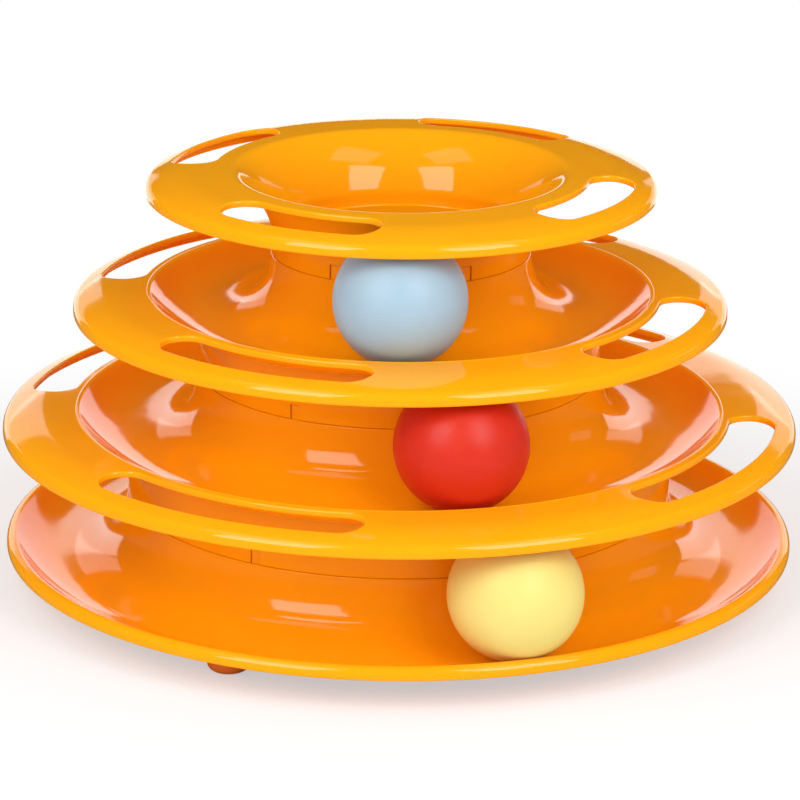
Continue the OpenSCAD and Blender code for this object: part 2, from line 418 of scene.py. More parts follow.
@dataclass(frozen=True)
class GlossyTowerPlastic:
    """Glossy moulded orange plastic, with painted shade that makes it redder in the tracks than on
    the flanges.

    Fields:
        name: name of the material.
        flange: linear colour of the flanges and rims, the lit copy of the plastic's colour.
        track: linear colour on the outer sides of the tracks, a redder copy that paints shade
            there.
        clouds: unevenness of the colour.
        cloud_span: least and most share of the track's colour that it adds.
        patches: unevenness of the gloss.
        rough: least and most roughness.
        shine: specular level.
        glow: share of the light that travels inside the plastic.
        glow_colours: how far red, green and blue travel, as shares of the depth.
        glow_depth: how far light travels.
        ripples: slow waves that the mould leaves, shorter waves where the plastic shrank, and
            the fine ripple of the skin.
    """

    name: str = "glossy_orange_plastic_painted_shade"
    # Lit and shaded copies of one plastic: the redder track colour is painted shade.
    flange: Colour = (1.0, 0.395, 0.005)
    track: Colour = (1.0, 0.30, 0.001)
    clouds: Noise = Noise(22.0, 3.0)
    cloud_span: Point = (-0.06, 0.06)
    patches: Noise = Noise(140.0, 4.0)
    rough: Point = (0.06, 0.09375)
    shine: float = 0.42
    glow: float = 0.2
    glow_colours: Colour = (1.0, 0.35, 0.05)
    glow_depth: float = 0.004
    ripples: tuple[Ripple, ...] = (
        Ripple(26.0, 1.6, 0.0002),
        Ripple(75.0, 1.5, 0.00004),
        Ripple(700.0, 2.0, 0.000004),
    )

    def material(self) -> bpy.types.Material:
        """Builds the material.

        Returns:
            The new material.
        """
        n = Nodes(bpy.data.materials.new(self.name))
        place = n.add("ShaderNodeTexCoord").outputs["Object"]
        # Share of painted shade at each point, from the mouldings' track_depth attribute.
        depth = n.add("ShaderNodeAttribute", attribute_name="track_depth").outputs["Fac"]
        cloud = n.spread(n.noise(place, self.clouds), self.cloud_span)
        painted_shade_and_clouds = n.add("ShaderNodeMath", {0: depth, 1: cloud}, operation="ADD", use_clamp=True)
        # The base colour runs from the flanges' lit colour to the tracks' painted shade, with
        # random clouds.
        inputs = {
            "Base Color": n.ramp(
                painted_shade_and_clouds.outputs["Value"], [(0.0, self.flange), (1.0, self.track)]
            ),
            "Roughness": n.spread(n.noise(place, self.patches), self.rough),
            "Specular IOR Level": self.shine,
            "Subsurface Weight": self.glow,
            "Subsurface Radius": self.glow_colours,
            "Subsurface Scale": self.glow_depth,
            "Normal": n.grain(place, self.ripples),
        }
        return n.finish(n.add("ShaderNodeBsdfPrincipled", inputs).outputs["BSDF"])


@dataclass(frozen=True)
class CloudedSkin:
    """Skin of a piece in one colour, with faint clouds of a second.

    Fields:
        name: name of the material.
        colour: linear colour.
        shade: linear colour of the clouds.
        clouds: unevenness of the colour.
        cloud_span: factors at which the clouds start and are full.
        patches: unevenness of the gloss.
        rough: least and most roughness.
        shine: specular level.
        skin: fine grain.
    """

    name: str
    colour: Colour
    shade: Colour
    clouds: Noise
    cloud_span: Point
    patches: Noise
    rough: Point
    shine: float
    skin: Ripple

    def material(self) -> bpy.types.Material:
        """Builds the material.

        Returns:
            The new material.
        """
        n = Nodes(bpy.data.materials.new(self.name))
        place = n.add("ShaderNodeTexCoord").outputs["Object"]
        stops = list(zip(self.cloud_span, (self.colour, self.shade)))
        inputs = {
            "Base Color": n.ramp(n.noise(place, self.clouds), stops),
            "Roughness": n.spread(n.noise(place, self.patches), self.rough),
            "Specular IOR Level": self.shine,
            "Normal": n.grain(place, [self.skin]),
        }
        return n.finish(n.add("ShaderNodeBsdfPrincipled", inputs).outputs["BSDF"])


@dataclass(frozen=True)
class SatinBallPlastic(CloudedSkin):
    """Satin plastic of a hollow ball, with values for the fields of CloudedSkin."""

    clouds: Noise = Noise(90.0, 3.0)
    cloud_span: Point = (0.35, 0.7)
    patches: Noise = Noise(260.0, 3.0)
    rough: Point = (0.37, 0.48)
    shine: float = 0.33
    skin: Ripple = Ripple(2200.0, 2.0, 0.000012)


@dataclass(frozen=True)
class SoftFootRubber(CloudedSkin):
    """Soft red-orange rubber of the feet, with values for the fields of CloudedSkin."""

    name: str = "soft_foot_rubber"
    colour: Colour = (0.95, 0.20, 0.008)
    shade: Colour = (0.86, 0.20, 0.02)
    clouds: Noise = Noise(320.0, 4.0)
    cloud_span: Point = (0.4, 0.75)
    patches: Noise = Noise(320.0, 4.0)
    rough: Point = (0.42, 0.6)
    shine: float = 0.5
    skin: Ripple = Ripple(3000.0, 2.0, 0.00004)


# ---------------------------------------------------------------- the tower's plan


class Level(Enum):
    """Levels of the tower, counted from the ground."""

    BASE = 0
    LOWER = 1
    MIDDLE = 2
    TOP = 3


@dataclass(frozen=True)
class Softening:
    """How far each softened corner of the mouldings' sections reaches.

    Fields:
        spigot_inner: inner edge of a spigot's top.
        spigot_outer: outer edge of a spigot's top.
        shoulder_inner: corner between a spigot and its shoulder.
        shoulder_outer: outer edge of that shoulder.
        crease: crease of a tier.
        base_crease: crease of the base tray.
        bowl_crease: crease of the bowl.
        lip_end: edges of a lip's lower end.
        under_crease: corner below a crease.
        under_bowl_crease: corner below the bowl's crease.
        skirt_root: outer corner between a track and its skirt.
        skirt_neck: inner corner between a skirt and the neck above it.
        skirt_end: edges of a skirt's lower end.
        web_outer: corner below a shoulder, on the neck's side.
        web_inner: corner below a shoulder, on the spigot's side.
        seat: corner between the bowl and its skirt, inside.
        knee: the same, outside.
        boss: edge of a foot's boss.
        key: edges of a key.
    """

    spigot_inner: float = 0.5 * MM
    spigot_outer: float = 0.7 * MM
    shoulder_inner: float = 0.25 * MM
    shoulder_outer: float = 0.3 * MM
    crease: float = 0.3 * MM
    base_crease: float = 0.8 * MM
    bowl_crease: float = 1.8 * MM
    lip_end: float = 0.75 * MM
    under_crease: float = 0.9 * MM
    under_bowl_crease: float = 1.0 * MM
    skirt_root: float = 1.0 * MM
    skirt_neck: float = 0.8 * MM
    skirt_end: float = 0.3 * MM
    web_outer: float = 0.5 * MM
    web_inner: float = 0.4 * MM
    seat: float = 1.2 * MM
    knee: float = 1.2 * MM
    boss: float = 0.35 * MM
    key: float = 0.3 * MM


@dataclass(frozen=True)
class TowerPlan:
    """Sizes that the tower's pieces share.

    Fields:
        ball_radius: radius of a ball.
        floor_gap: gap under a ball.
        wall: thickness of a moulding.
        top_neck: outside radius of the smallest neck.
        step: growth of radius from one level to the level below.
        groove: section radius between a track's lowest line and its neck.
        hollow: how much further the middle of the neck side lies out of that section's circle.
        track_out: distance from a track's lowest line out to its crease.
        track_depth: depth of a track below its crease.
        base_side: section radius on the outer side of the base track.
        base_floor: height of the base track's lowest line.
        base_extra: height added between the base track and the next.
        base_rim_inset: how much smaller the base tray's rim is than the lower tier's.
        rise: height from one level to the next.
        seam_drop: how far a seam lies below the line where a neck is narrowest.
        seam_gap: gap at a seam.
        fit_gap: gap between a spigot and the skirt round it.
        spigot_height: height of a spigot.
        flange_width: width of a flange from its crease to its rim.
        lip: radius of a rolled lip.
        lip_skirt: straight part of a lip.
        crease_slope: mean slope of a flange at its crease.
        rim_slope: mean slope of a flange at its lip.
        key_count: number of keys at a seam.
        key_angle: angle of the first key.
        key_width: width of a key.
        key_height: height of a key.
        key_inset: how far a key's outside lies inside the neck's.
        key_gap: gap between a key and its notch.
        slot_count: slots in a flange.
        slot_angle: angle of the first slot's middle.
        slot_span: angle that a slot spans.
        slot_width: width of a slot.
        slot_margin: flange left between a slot and the rim.
        foot_radius: distance of the feet from the axis.
        foot_angles: angles of the feet.
        section_step: degrees between two sections of a moulding.
        section_clear: degrees by which a section must miss the side of a notch.
        soft: reaches of the softened corners.
    """

    ball_radius: float = 20 * MM
    floor_gap: float = 0.3 * MM
    wall: float = 2 * MM
    top_neck: float = 40 * MM
    step: float = 22.5 * MM
    groove: float = 21.3 * MM
    hollow: float = 1.5 * MM
    track_out: float = 16.2 * MM
    track_depth: float = 6.5 * MM
    base_side: float = 20.3 * MM
    base_floor: float = 8.4 * MM
    base_extra: float = 1 * MM
    base_rim_inset: float = 0.4 * MM
    rise: float = 37.8 * MM
    seam_drop: float = 2.8 * MM
    seam_gap: float = 0.08 * MM
    fit_gap: float = 0.3 * MM
    spigot_height: float = 5 * MM
    flange_width: float = 23.8 * MM
    lip: float = 3 * MM
    lip_skirt: float = 1.4 * MM
    crease_slope: float = 2.0
    rim_slope: float = 9.0
    key_count: int = 6
    key_angle: float = 30.0
    key_width: float = 3 * MM
    key_height: float = 4.6 * MM
    key_inset: float = 0.4 * MM
    key_gap: float = 0.08 * MM
    slot_count: int = 4
    slot_angle: float = -28.0
    slot_span: float = 46.0
    slot_width: float = 14.2 * MM
    slot_margin: float = 6.4 * MM
    foot_radius: float = 102.3 * MM
    foot_angles: tuple[float, ...] = (-29.0, 61.0, 151.0, 241.0)
    section_step: float = 1.5
    section_clear: float = 0.45
    soft: Softening = Softening()

    def neck(self, level: Level) -> float:
        """Outside radius of the neck on a level."""
        return self.top_neck + (Level.MIDDLE.value - level.value) * self.step

    def floor_radius(self, level: Level) -> float:
        """Radius of the lowest line of the track on a level."""
        return self.neck(level) + self.groove

    def floor_height(self, level: Level) -> float:
        """Height of the lowest line of the track on a level."""
        extra = 0.0 if level is Level.BASE else self.base_extra
        return self.base_floor + level.value * self.rise + extra

    def crease_height(self, level: Level) -> float:
        """Height of the crease of a level's flange."""
        return self.floor_height(level) + self.track_depth

    def seam_height(self, level: Level) -> float:
        """Height of the shoulder at the top of a level's neck."""
        return self.floor_height(level) + self.groove - self.seam_drop

    def seam_angle(self) -> float:
        """Angle in a neck side's section at which its seam lies."""
        return 180 + math.degrees(math.asin(self.seam_drop / self.groove))

    def outer_side(self) -> float:
        """Section radius between a track's lowest line and its crease."""
        return (self.track_out**2 + self.track_depth**2) / (2 * self.track_depth)

    def rim(self, level: Level) -> float:
        """Outside radius of a level's rim.

        Args:
            level: the level.

        Returns:
            That radius.
        """
        lower = self.floor_radius(Level.LOWER) + self.track_out + self.flange_width
        if level is Level.BASE:
            return lower - self.base_rim_inset
        return lower - (level.value - 1) * self.step

    def crown_drop(self, width: float, lip: float) -> float:
        """Height from a crease down to the lip's centre.

        Args:
            width: width from the crease to the rim's outside.
            lip: radius of the lip.

        Returns:
            That height.
        """
        first, last = math.radians(self.crease_slope), math.radians(self.rim_slope)
        radius = (width - lip * (1 - math.sin(last))) / (math.sin(last) - math.sin(first))
        return radius * (math.cos(first) - math.cos(last)) + lip * math.cos(last)

    def ball_centre(self, level: Level, angle: float) -> tuple[float, float, float]:
        """Centre of the ball at an angle on a level's track."""
        height = self.floor_height(level) + self.floor_gap + self.ball_radius
        return from_axis(self.floor_radius(level), angle, height)

    def notches(self, neck: float) -> list[Point]:
        """First and last angle of each key notch in a skirt.

        Args:
            neck: outside radius of the skirt.

        Returns:
            Both angles of each notch.
        """
        half = math.degrees(math.asin((self.key_width / 2 + self.key_gap) / neck))
        middles = self.key_angle + around(self.key_count)
        return [(float(middle - half), float(middle + half)) for middle in middles]

    def angles(self, notches: Sequence[Point] = ()) -> np.ndarray:
        """Angles at which a moulding's section is set round the axis.

        Args:
            notches: first and last angle of each key notch.

        Returns:
            The sorted angles.
        """
        first = self.slot_angle - 180 / self.slot_count
        marks = first + np.arange(0, 360, self.section_step)
        if notches:
            edges = first + np.mod(np.ravel(notches) - first, 360)
            near = np.abs(marks[:, None] - edges[None]).min(axis=1) < self.section_clear
            sector = np.isclose(np.mod(marks - first, 360 / self.slot_count), 0)
            marks = np.concatenate([marks[~near | sector], edges])
        return np.sort(marks)


@dataclass(frozen=True)
class Crown:
    """Flange between a crease and its lip: nearly flat at first, then rounded down to the rim.

    Fields:
        crease: radius and height of the crease.
        width: width from the crease to the rim's outside.
        lip: radius of the rolled lip.
        drop: height of the crease above the lip's centre.
        wall: thickness.
        flat_slope: slope where it is nearly flat, in degrees.
        end_slope: slope where it meets the lip, in degrees.
        samples: points at which its section is worked out.
    """

    crease: Point
    width: float
    lip: float
    drop: float
    wall: float
    flat_slope: float = 1.0
    end_slope: float = 20.0
    samples: int = 241

    def section(self) -> tuple[np.ndarray, np.ndarray, np.ndarray]:
        """Section of the crown's top.

        Returns:
            Radius, height and slope in radians of points from the crease to the lip.
        """
        end = math.radians(self.end_slope)
        run = self.width - self.lip * (1 - math.sin(end))
        mean = math.degrees(math.atan((self.drop - self.lip * math.cos(end)) / run))
        bent = 2 * (mean - self.flat_slope) / (self.end_slope - self.flat_slope)
        share = np.linspace(0, 1, self.samples)
        turn = np.clip((share - 1 + bent) / bent, 0, 1)
        slope = np.radians(self.flat_slope + (self.end_slope - self.flat_slope) * turn)
        falls = np.tan((slope[1:] + slope[:-1]) / 2) * run / (len(share) - 1)
        height = self.crease[1] - np.concatenate([[0.0], np.cumsum(falls)])
        return self.crease[0] + share * run, height, slope

    def lip_centre(self) -> Point:
        """Centre of the lip's section."""
        radius, height, slope = (float(values[-1]) for values in self.section())
        return radius - self.lip * math.sin(slope), height - self.lip * math.cos(slope)

    def height(self, radius: Values, below: float = 0.0) -> Values:
        """Height at a radius, on a surface that lies below the crown's top by a thickness."""
        known, height, slope = self.section()
        return np.interp(radius, known, height) - below / np.cos(np.interp(radius, known, slope))

    def under_crease(self, slope: float) -> Point:
        """Point below the crease where the under surfaces of flange and track meet.

        Args:
            slope: slope of the track at the crease, in degrees.

        Returns:
            Its radius and height.
        """
        lean = math.radians((slope - self.flat_slope) / 2)
        reach = self.wall / math.cos(math.radians((slope + self.flat_slope) / 2))
        return self.crease[0] + reach * math.sin(lean), self.crease[1] - reach * math.cos(lean)


@dataclass(frozen=True)
class SlottedFlange:
    """Flange with curved slots, as panels that each hold one slot.

    Fields:
        crown: the flange's crown.
        plan: sizes that the pieces share.
        top_start: distance from the crease out to where the panels' upper side starts.
        under_start: the same on their lower side.
        edge: radius of the slots' softened edges.
        edge_steps: segments across a softened edge.
        corner: degrees from the outward direction at which a slot's ends face the corners of
            their panel.
        side_count: segments of a slot's end that face the panel's side.
        spacing: where the rows of a panel lie, from its border, 1, to the slot's edge, 0.
    """

    crown: Crown
    plan: TowerPlan
    top_start: float = 2.1 * MM
    under_start: float = 2.0 * MM
    edge: float = 0.6 * MM
    edge_steps: int = 5
    corner: float = 52.0
    side_count: int = 9
    spacing: tuple[float, ...] = (1.0, 0.72, 0.48, 0.28, 0.12)

    def borders(self) -> tuple[Point, Point]:
        """Radii at which the panels start and end.

        Returns:
            Both radii on the upper side, and both on the lower side.
        """
        crown, lip = self.crown, self.crown.lip_centre()[0]
        lean = math.sin(math.radians(crown.end_slope))
        return (
            (crown.crease[0] + self.top_start, lip + crown.lip * lean),
            (crown.crease[0] + self.under_start, lip + (crown.lip - self.plan.wall) * lean),
        )

    def slot_ring(self, middle: float, angles: np.ndarray) -> tuple[np.ndarray, ...]:
        """Points round one slot, matched to points round its panel.

        Args:
            middle: angle of the slot's middle.
            angles: angles of the flange's section in the panel, with both its ends.

        Returns:
            For each point, its anchor in the slot's middle line, the direction out from there,
            its share of the way over the panel (0 at the crease side, 1 at the rim side), and
            its panel angle.
        """
        p = self.plan
        mid = self.crown.crease[0] + self.crown.width - p.slot_margin - p.slot_width / 2
        half = p.slot_span / 2 - math.degrees(math.asin(p.slot_width / 2 / mid))
        reach = 180 / p.slot_count
        shares = np.arange(1, self.side_count) / self.side_count
        fan = self.corner + (180 - 2 * self.corner) * shares

        def cap(offset: float) -> Point:
            """Anchor and direction for a point of the panel, on the rim side.

            Args:
                offset: degrees from the slot's middle to that point.

            Returns:
                The anchor's angle from the slot's middle, and the direction from outward.
            """
            if abs(offset) <= half:
                return offset, 0.0
            way = self.corner * (abs(offset) - half) / (reach - half)
            return math.copysign(half, offset), math.copysign(way, offset)

        caps = [(*cap(a - middle), a) for a in angles]
        rows = [(anchor, way, 1.0, a) for anchor, way, a in caps]
        rows += [(half, way, 1 - t, angles[-1]) for way, t in zip(fan, shares)]
        rows += [(anchor, 180 - way, 0.0, a) for anchor, way, a in reversed(caps)]
        rows += [(-half, 180 + way, t, angles[0]) for way, t in zip(fan, shares)]
        anchors, ways, over, turns = np.array(rows).T
        return mid * outward(middle + anchors), outward(middle + anchors + ways), over, turns

    def add_to(self, shell: Shell, angles: np.ndarray) -> None:
        """Adds all the panels of the flange.

        Args:
            shell: where they are added.
            angles: angles of the moulding's section.
        """
        p = self.plan
        reach = 180 / p.slot_count
        for middle in p.slot_angle + around(p.slot_count):
            low, high = middle - reach, middle + reach
            turned = angles + 360 * np.round((middle - angles) / 360)
            inside = turned[(turned > low + ANGLE_APART) & (turned < high - ANGLE_APART)]
            sector = np.concatenate([[low], np.sort(inside), [high]])
            shell.add_grid(self.panel(middle, sector))

    def panel(self, middle: float, sector: np.ndarray) -> np.ndarray:
        """Panel with one slot, from its upper border through the slot to its lower border.

        Args:
            middle: angle of the slot's middle.
            sector: angles of the section in the panel.

        Returns:
            Points in rows from border to border, and round the slot in columns.
        """
        p, steps = self.plan, self.edge_steps
        anchors, ways, over, turns = self.slot_ring(middle, sector)

        def ring(offset: float) -> np.ndarray:
            """Slot's outline, set out by an offset."""
            return anchors + (p.slot_width / 2 + offset) * ways

        start = ring(self.edge)
        angle = np.degrees(np.arctan2(start[:, 0], -start[:, 1]))
        angle += 360 * np.round((turns - angle) / 360)
        polar = np.column_stack([np.hypot(start[:, 0], start[:, 1]), angle])

        def layer(ends: Point, t: float, below: float) -> np.ndarray:
            """Row of points between the slot's outline and the panel's border.

            Args:
                ends: radii at which the panel starts and ends.
                t: where the row lies, from the outline, 0, to the border, 1.
                below: how far the row's surface lies below the crown's top.

            Returns:
                The points, one row each.
            """
            border = np.column_stack([ends[0] + (ends[1] - ends[0]) * over, turns])
            mix = polar + (border - polar) * t
            heights = self.crown.height(mix[:, 0], below)
            return np.column_stack([mix[:, :1] * outward(mix[:, 1]), heights])

        def rounding(t: float, below: float, way: float) -> np.ndarray:
            """Row of points on a softened edge.

            Args:
                t: where the row lies, from the surface, 0, to the slot's wall, 1.
                below: how far the surface lies below the crown's top.
                way: 1 where the edge rounds down, -1 where it rounds up.

            Returns:
                The points, one row each.
            """
            turn = math.radians(90 * t)
            flat = ring(self.edge * (1 - math.sin(turn)))
            heights = self.crown.height(np.hypot(flat[:, 0], flat[:, 1]), below)
            return np.column_stack([flat, heights - way * self.edge * (1 - math.cos(turn))])

        top, under = self.borders()
        rows = [layer(top, t, 0.0) for t in self.spacing]
        rows += [rounding(i / steps, 0.0, 1.0) for i in range(steps + 1)]
        rows += [rounding(1 - i / steps, p.wall, -1.0) for i in range(steps + 1)]
        rows += [layer(under, t, p.wall) for t in reversed(self.spacing)]
        return np.stack(rows)


# ---------------------------------------------------------------- sub-assemblies


def dress(
    made: bpy.types.Object, finish: bpy.types.Material, body: str, nodes: Sequence[str]
) -> None:
    """Gives a piece its finish, sets it on the body that it rides on, and hides the solids that it
    stands for.

    Args:
        made: the piece.
        finish: its material.
        body: the body that it rides on.
        nodes: the solids that it stands for.
    """
    made.data.materials.append(finish)
    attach(made, body)
    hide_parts(*nodes)
    log.info("%s: %d faces, rides on %s", made.name, len(made.data.polygons), body)


@dataclass
class Moulding(ABC):
    """One of the tower's mouldings, a section that is turned round the axis.

    Fields:
        name: name of the piece.
        level: its level.
        plan: sizes that the pieces share.
    """

    name: str
    level: Level
    plan: TowerPlan

    @abstractmethod
    def crown(self) -> Crown:
        """Crown between the crease and the lip."""

    @abstractmethod
    def bed(self) -> Outline:
        """Outline of the upper side, from the inside out to the crease."""

    @abstractmethod
    def belly(self, line: Outline) -> Outline:
        """Adds the underside, from below the crease back to where the bed starts."""

    @abstractmethod
    def painted_shade_share(self, radius: np.ndarray, height: np.ndarray) -> np.ndarray:
        """Share of painted shade, the track's redder colour, at points."""

    def below(self) -> Level:
        """Level below."""
        return Level(self.level.value - 1)

    def notch_top(self) -> float:
        """Height of the upper end of the key notches in the skirt."""
        p = self.plan
        return p.seam_height(self.below()) + p.key_height + p.key_gap

    def skirt(self, line: Outline) -> Outline:
        """Adds the skirt's lower end, between the upper ends of its notches.

        Args:
            line: outline that ends on the skirt's outside.

        Returns:
            The outline.
        """
        p, notch = self.plan, self.notch_top()
        outside, low = p.neck(self.below()), p.seam_height(self.below()) + p.seam_gap
        line.to(outside, notch).to(outside, low, p.soft.skirt_end)
        inside = outside - p.wall
        return line.to(inside, low, p.soft.skirt_end).to(inside, notch)

    def lip(self, line: Outline) -> Outline:
        """Adds the rolled lip, from the crown's upper side to its lower side.

        Args:
            line: outline that ends on the crown's upper side.

        Returns:
            The outline.
        """
        p, crown = self.plan, self.crown()
        c, inner = crown.lip_centre(), crown.lip - p.wall
        line.arc(c, crown.lip, 90 - crown.end_slope, 0, step=6.0)
        line.to(c[0] + crown.lip, c[1] - p.lip_skirt, p.soft.lip_end)
        line.to(c[0] + inner, c[1] - p.lip_skirt, p.soft.lip_end)
        return line.arc(c, inner, 0, 90 - crown.end_slope, step=8.0)

    def fill(self, shell: Shell) -> None:
        """Adds the slotted flange with its lip, and the rest of the section with its notches.

        Args:
            shell: where the faces are added.
        """
        p, crown, notch = self.plan, self.crown(), self.notch_top()
        spans = p.notches(p.neck(self.below()))
        angles = p.angles(spans)
        flange = SlottedFlange(crown, p)
        (top, _), (under, _) = flange.borders()
        shell.turn(self.lip(Outline()).drawn(), angles)
        shell.turn(self.bed().to(top, crown.height(top)).drawn(), angles)
        outline = self.belly(Outline().to(under, crown.height(under, p.wall))).drawn()
        at_notch = [i for i, point in enumerate(outline) if abs(point[1] - notch) < SAME]
        first, last = at_notch[0], at_notch[-1]
        following = np.append(angles[1:], angles[0] + 360)
        cut = [
            any(abs((middle - (a + b) / 2 + 180) % 360 - 180) < (b - a) / 2 for a, b in spans)
            for middle in (angles + following) / 2
        ]
        shell.turn(outline, angles, skip=lambda i, j: cut[j] and first <= i < last)
        for angle in np.ravel(spans):
            shell.add_face([from_axis(r, angle, z) for r, z in outline[first : last + 1]])
        outside, inside = outline[first][0], outline[last][0]
        for angle, after, is_open in zip(angles, following, cut):
            if is_open:
                corners = ((outside, angle), (outside, after), (inside, after), (inside, angle))
                shell.add_face([from_axis(r, a, notch) for r, a in corners])
        flange.add_to(shell, angles)

    def build(self) -> bpy.types.Object:
        """Builds the moulding, with the share of painted shade at its points.

        Returns:
            The new object.
        """
        shell = Shell()
        self.fill(shell)
        made = shell.piece(self.name)
        points = np.zeros(len(made.data.vertices) * 3, np.float32)
        made.data.vertices.foreach_get("co", points)
        x, y, z = points.reshape(-1, 3).T
        # The track_depth attribute holds the share of painted shade at each point, not a depth.
        layer = made.data.attributes.new("track_depth", "FLOAT", "POINT")
        share = np.clip(self.painted_shade_share(np.hypot(x, y), z), 0, 1)
        layer.data.foreach_set("value", share.astype(np.float32))
        return made


@dataclass
class TrackMoulding(Moulding):
    """Moulding with a track: the base tray, or a tier with a slotted flange and a skirt.

    Fields:
        base_rim_width: width of the base tray's rim.
        base_lip: lip radius of the base tray.
        spigot_start: how far below the spigot's top its section starts and ends.
        under_clear: degrees left out beside the corner below the crease.
        line_place: distance from a tier's crease out to the fine raised line beside it.
        line_width: width of that line.
        line_height: height of that line.
        line_points: points across that line.
        boss_radius: radius of a foot's boss.
        boss_flare: how much wider a boss is at its root.
        boss_flare_height: height of that root.
        boss_sink: how far a boss reaches into the tray's wall, as a share of the wall.
        boss_height: height of a boss's lower end.
        painted_shade_edge: distance beyond the crease at which the painted shade, the track's
            redder colour, starts.
        painted_shade_fade: width over which it starts.
        painted_shade_floor: share of it on the track's floor.
        painted_shade_full: share of the outer side over which it grows to all of it.
        neck_painted_shade: how much it grows on the neck.
        neck_painted_shade_fade: width over which it grows there.
    """

    base_rim_width: float = 3 * MM
    base_lip: float = 2.5 * MM
    spigot_start: float = 1.5 * MM
    under_clear: float = 1.0
    line_place: float = 0.8 * MM
    line_width: float = 0.9 * MM
    line_height: float = 0.12 * MM
    line_points: int = 13
    boss_radius: float = 4.3 * MM
    boss_flare: float = 1.4 * MM
    boss_flare_height: float = 1.2 * MM
    boss_sink: float = 0.3
    boss_height: float = 4.9 * MM
    # Painted shade: the track is coloured redder where shade falls, most on its outer side and a
    # little on the neck.
    painted_shade_edge: float = 0.2 * MM
    painted_shade_fade: float = 1.5 * MM
    painted_shade_floor: float = 0.4
    painted_shade_full: float = 0.7
    neck_painted_shade: float = 0.25
    neck_painted_shade_fade: float = 8 * MM

    def side_radius(self) -> float:
        """Section radius of the track's outer side."""
        return self.plan.base_side if self.level is Level.BASE else self.plan.outer_side()

    def side_centre(self) -> Point:
        """Centre of the outer side's section."""
        p = self.plan
        return p.floor_radius(self.level), p.floor_height(self.level) + self.side_radius()

    def crown(self) -> Crown:
        """Crown between the crease and the lip.

        Returns:
            The crown, which is a narrow rim on the base tray.
        """
        p, base = self.plan, self.level is Level.BASE
        width, lip = (self.base_rim_width, self.base_lip) if base else (p.flange_width, p.lip)
        radius, centre = p.rim(self.level) - width, self.side_centre()
        height = centre[1] - math.sqrt(self.side_radius() ** 2 - (radius - centre[0]) ** 2)
        slopes = (p.crease_slope, p.rim_slope) if base else ()
        return Crown((radius, height), width, lip, p.crown_drop(width, lip), p.wall, *slopes)

    def slope(self) -> float:
        """Slope of the track at its crease, in degrees."""
        out = self.crown().crease[0] - self.side_centre()[0]
        return math.degrees(math.asin(out / self.side_radius()))

    def bed(self) -> Outline:
        """Outline of the spigot, the neck and the track.

        Returns:
            The outline, from the spigot's inside to the crease and the line beside it.
        """
        p, soft = self.plan, self.plan.soft
        seam, start = p.seam_height(self.level), p.seam_angle()
        spigot_out, top = p.neck(self.level) - p.wall - p.fit_gap, seam + p.spigot_height
        spigot_in = spigot_out - p.wall
        shoulder = p.floor_radius(self.level) + p.groove * math.cos(math.radians(start))
        line = Outline().to(spigot_in, top - self.spigot_start)
        line.to(spigot_in, top, soft.spigot_inner).to(spigot_out, top, soft.spigot_outer)
        line.to(spigot_out, seam, soft.shoulder_inner).to(shoulder, seam, soft.shoulder_outer)
        self.neck_side(line, p.groove, start, 270)
        line.arc(self.side_centre(), self.side_radius(), -90, self.slope() - 90, step=3.0)
        if self.level is Level.BASE:
            return line.soften_last(soft.base_crease)
        return self.crease_line(line.soften_last(soft.crease))

    def crease_line(self, line: Outline) -> Outline:
        """Adds the fine raised line beside the crease.

        Args:
            line: outline that ends on the crease.

        Returns:
            The outline.
        """
        crown = self.crown()
        for across in np.linspace(-1, 1, self.line_points):
            radius = crown.crease[0] + self.line_place + across * self.line_width / 2
            rise = self.line_height * (1 + math.cos(math.pi * across)) / 2
            line.to(radius, crown.height(radius) + rise)
        return line

    def neck_side(self, line: Outline, radius: float, start: float, end: float) -> Outline:
        """Adds the neck side of a track, an arc that is hollowed between its seam and its floor.

        Args:
            line: outline to add to.
            radius: the arc's radius without the hollow.
            start: angle of its first point.
            end: angle of its last point.

        Returns:
            The outline.
        """
        p, seam = self.plan, self.plan.seam_angle()

        def swell(angle: float) -> float:
            """Depth of the hollow at an angle."""
            share = min(max((angle - seam) / (270 - seam), 0.0), 1.0)
            return p.hollow * math.sin(math.pi * share) ** 2

        centre = (p.floor_radius(self.level), p.floor_height(self.level) + p.groove)
        return line.arc(centre, radius, start, end, 2.5, swell)

    def belly(self, line: Outline) -> Outline:
        """Adds the underside from below the crease to the spigot's inside, with a tier's skirt.

        Args:
            line: outline that ends on the flange's underside.

        Returns:
            The outline.
        """
        p, centre = self.plan, self.side_centre()
        side, groove = self.side_radius() + p.wall, p.groove + p.wall
        mark = self.crown().under_crease(self.slope())
        line.to(*mark, p.soft.under_crease)

        def lean(radius: float, section: float) -> float:
            """Degrees from straight below a section's centre to a radius."""
            return math.degrees(math.asin((radius - centre[0]) / section))

        start = lean(mark[0], side) - 90 - self.under_clear
        neck_end = 180 + math.degrees(math.asin((p.wall + p.seam_drop) / groove))
        if self.level is Level.BASE:
            line.arc(centre, side, start, -90, step=4.0)
            self.neck_side(line, groove, 270, neck_end)
        else:
            outside = p.neck(self.below())
            line.arc(centre, side, start, lean(outside, side) - 90, step=4.0)
            self.skirt(line.soften_last(p.soft.skirt_root))
            above = len(line.points)
            self.neck_side(line, groove, lean(outside - p.wall, groove) + 270, neck_end)
            line.reaches[above] = p.soft.skirt_neck
        line.soften_last(p.soft.web_outer)
        spigot = self.bed().points[0]
        line.to(spigot[0], p.seam_height(self.level) - p.wall, p.soft.web_inner)
        return line.to(*spigot)

